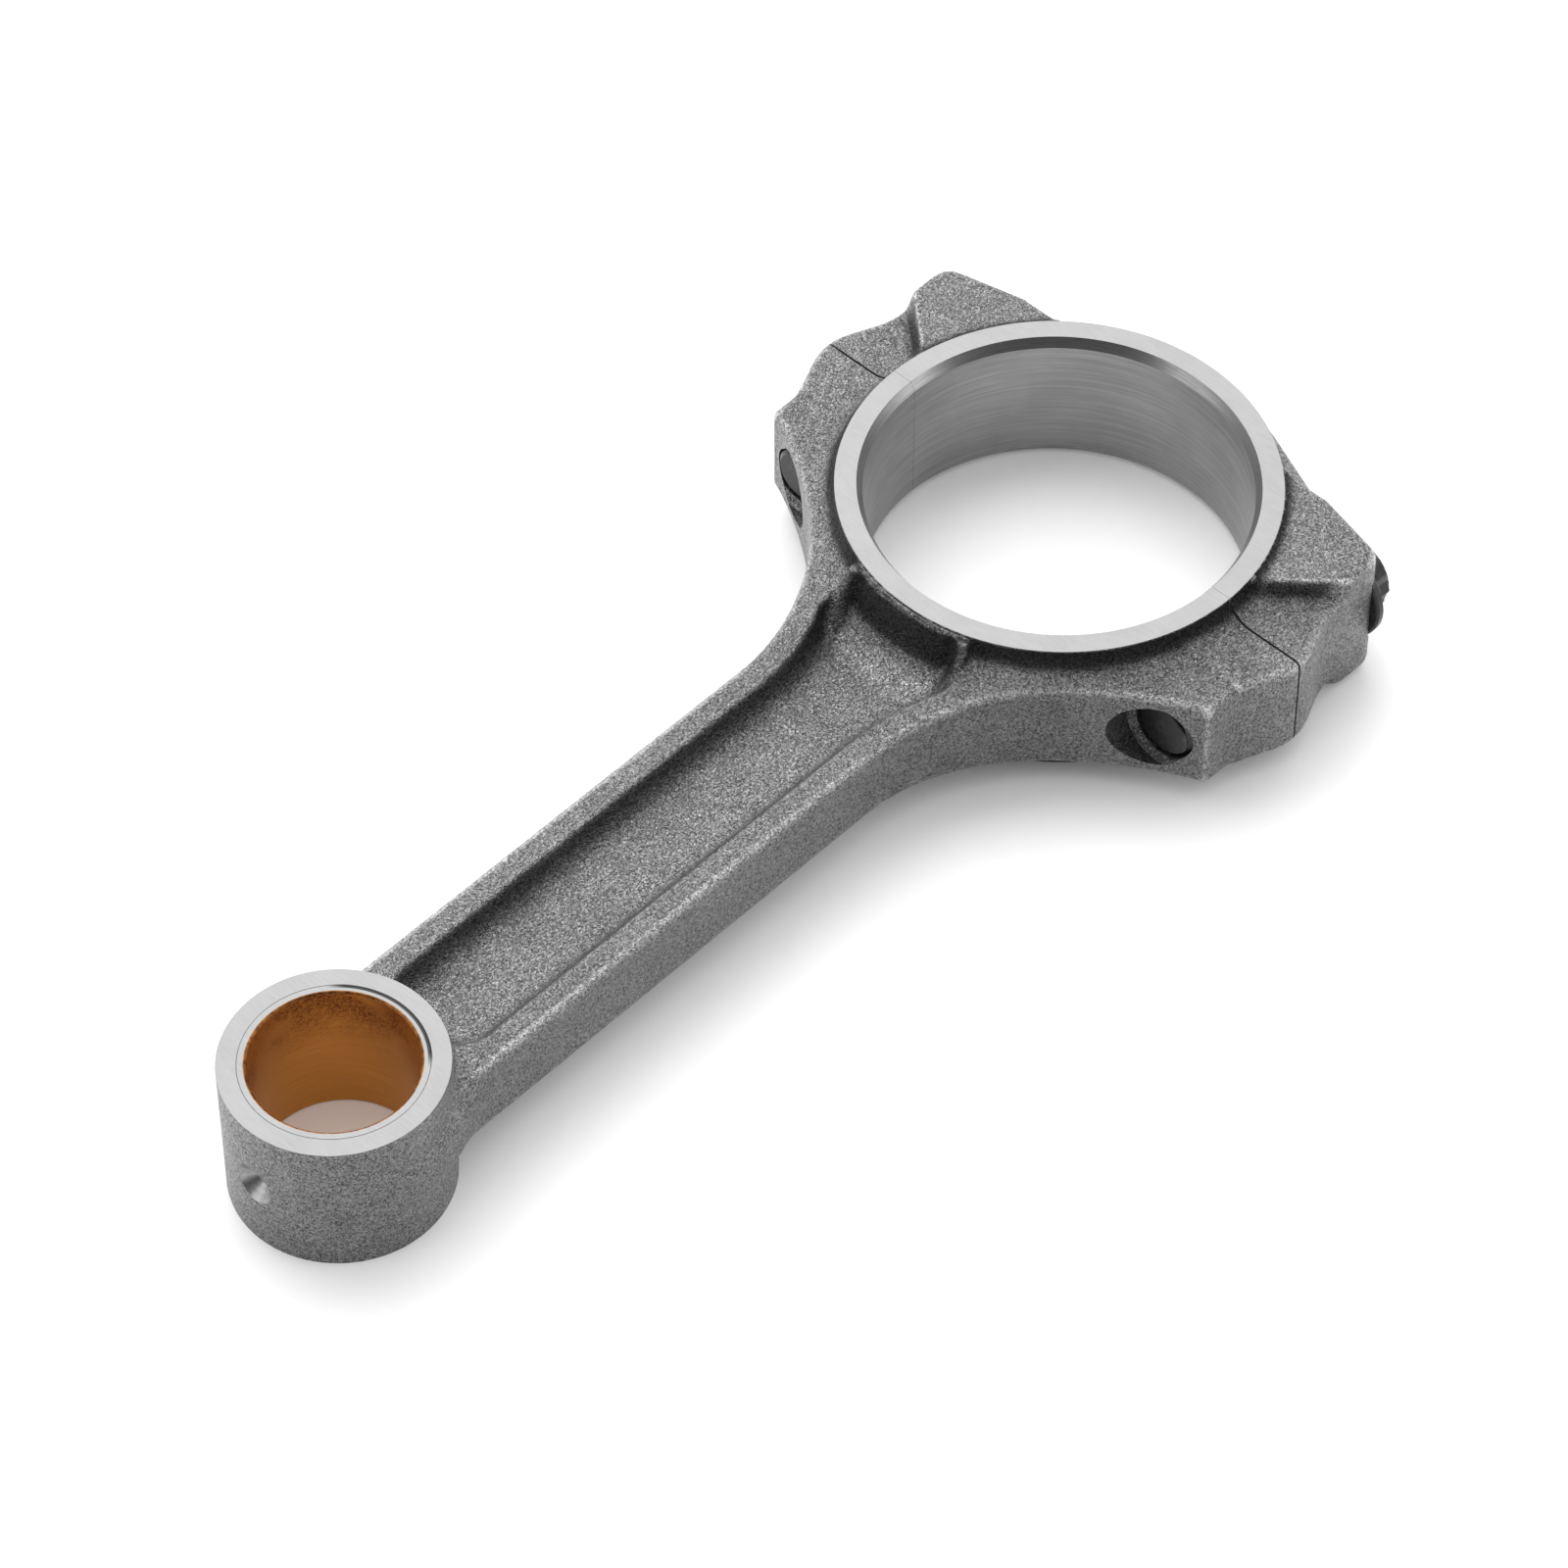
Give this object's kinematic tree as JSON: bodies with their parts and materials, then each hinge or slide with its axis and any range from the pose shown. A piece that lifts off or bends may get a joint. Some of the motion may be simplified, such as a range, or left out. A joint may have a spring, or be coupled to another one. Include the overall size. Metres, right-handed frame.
{
  "type": "connecting rod",
  "caption": "Forged I-beam engine connecting rod with a bolted big-end cap, two cap screws, hollow dowels and a bushed small end.",
  "frame": {"origin": "centre of the big-end bore, midway between the two machined faces", "axes": "+Z along both bores, +X along the rod from the small end towards the cap, +Y across the rod"},
  "size_m": [0.1962, 0.0916, 0.0238],
  "materials": {
    "forged_steel": "shot-blasted forged steel with ground faces",
    "black_oxide": "black oxide on alloy steel",
    "dowel_steel": "ground steel",
    "bush_steel": "machined steel",
    "bronze": "honed bronze lining"
  },
  "bodies": {
    "rod": {"rod_forging": "forged_steel", "dowel_left": "dowel_steel", "dowel_right": "dowel_steel", "bush_backing": "bush_steel", "bush_lining": "bronze"},
    "cap": {"cap_forging": "forged_steel"},
    "screw_left": {"cap_screw_left": "black_oxide"},
    "screw_right": {"cap_screw_right": "black_oxide"}
  },
  "joints": [
    {"name": "cap_lift", "type": "slide", "parent": "rod", "child": "cap", "axis": [1, 0, 0], "range_m": [0, 0.05]},
    {"name": "screw_left_out", "type": "slide", "parent": "cap", "child": "screw_left", "axis": [1, 0, 0], "range_m": [0, 0.045]},
    {"name": "screw_right_out", "type": "slide", "parent": "cap", "child": "screw_right", "axis": [1, 0, 0], "range_m": [0, 0.045]}
  ]
}
